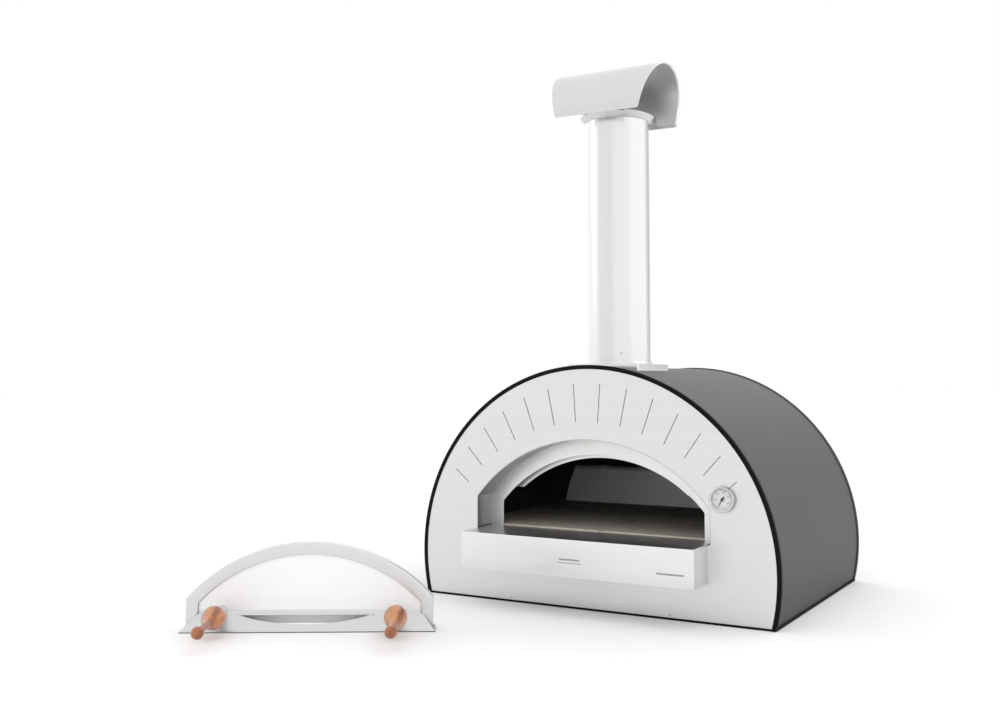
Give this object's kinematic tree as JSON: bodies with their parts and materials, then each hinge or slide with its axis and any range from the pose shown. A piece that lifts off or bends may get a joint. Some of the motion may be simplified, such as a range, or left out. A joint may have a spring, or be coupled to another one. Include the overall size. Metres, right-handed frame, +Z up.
{
  "type": "wood fired pizza oven",
  "caption": "Vaulted steel oven with an arched mouth, landing shelf, tall round flue, turning cowl, dial thermometer and a lift-off arched door on the floor.",
  "frame": {"origin": "middle of the underside of the oven's base plate, on the floor", "axes": "+Z up, -Y out of the oven's mouth, +X to the right as someone facing the mouth sees it"},
  "size_m": [1.2649, 1.6652, 1.476],
  "materials": {
    "edge_black": "black satin edging and base",
    "frame_steel": "plain mill finish, hidden inside",
    "insulating_board": "pressed calcium silicate board",
    "hearth_tile": "matt refractory clay, lightly marked",
    "chamber_steel": "heat toned stainless",
    "face_steel": "satin stainless",
    "ceramic_blanket": "spun ceramic fibre blanket",
    "shell_paint": "fine textured dark grey powder coat",
    "flue_steel": "bright rolled stainless",
    "cowl_steel": "bright folded stainless",
    "fastener_steel": "plain stainless",
    "gauge_steel": "polished stainless",
    "gauge_brass": "plain brass",
    "dial_white": "matt white enamel",
    "dial_glass": "clear flat glass",
    "needle_black": "matt black",
    "door_steel": "satin stainless",
    "handle_wood": "turned hardwood, clear varnish"
  },
  "bodies": {
    "oven": {"base_plate": "edge_black", "hearth_frame": "frame_steel", "hearth_board": "insulating_board", "hearth_pan": "frame_steel", "hearth_tile_front_left": "hearth_tile", "hearth_tile_front_right": "hearth_tile", "hearth_tile_rear_left": "hearth_tile", "hearth_tile_rear_right": "hearth_tile", "chamber_vault": "chamber_steel", "chamber_back": "chamber_steel", "throat_plate": "face_steel", "smoke_lip": "face_steel", "side_insulation": "ceramic_blanket", "front_insulation": "ceramic_blanket", "rear_insulation": "ceramic_blanket", "outer_shell": "shell_paint", "face_plate": "face_steel", "rear_plate": "shell_paint", "front_trim": "edge_black", "rear_trim": "shell_paint", "mouth_reveal": "face_steel", "landing_shelf": "face_steel", "shelf_underplate": "frame_steel", "shelf_brackets": "frame_steel", "face_screws": "fastener_steel", "rear_screws": "fastener_steel", "saddle": "face_steel", "flue_spigot": "chamber_steel", "flue_collar": "flue_steel", "flue_pipe": "flue_steel", "flue_screws": "fastener_steel", "gauge_case": "gauge_steel", "gauge_bezel": "gauge_steel", "gauge_dial": "dial_white", "gauge_glass": "dial_glass", "gauge_stem": "gauge_steel", "gauge_nut": "gauge_brass"},
    "cowl": {"cowl_sleeve": "cowl_steel", "cowl_straps": "cowl_steel", "cowl_hood": "cowl_steel", "cowl_rivets": "fastener_steel"},
    "needle": {"gauge_needle": "needle_black"},
    "door": {"door_frame": "door_steel", "door_panel": "door_steel", "door_back": "door_steel", "door_insulation": "ceramic_blanket", "door_foot_plate": "door_steel", "handle_ferrules": "fastener_steel", "handle_rods": "fastener_steel", "handle_left": "handle_wood", "handle_right": "handle_wood"}
  },
  "joints": [
    {"name": "cowl_turn", "type": "hinge", "parent": "oven", "child": "cowl", "pos_m": [0, -0.194, 1.342], "axis": [0, 0, 1], "range_deg": [-180, 180]},
    {"name": "needle_sweep", "type": "hinge", "parent": "oven", "child": "needle", "pos_m": [0.371, -0.405, 0.306], "axis": [0, 1, 0], "range_deg": [0, 270], "stiffness_Nm_per_rad": 0.002},
    {"name": "door_lift", "type": "slide", "parent": "oven", "child": "door", "axis": [0, 0, 1], "range_m": [0, 0.25]}
  ]
}
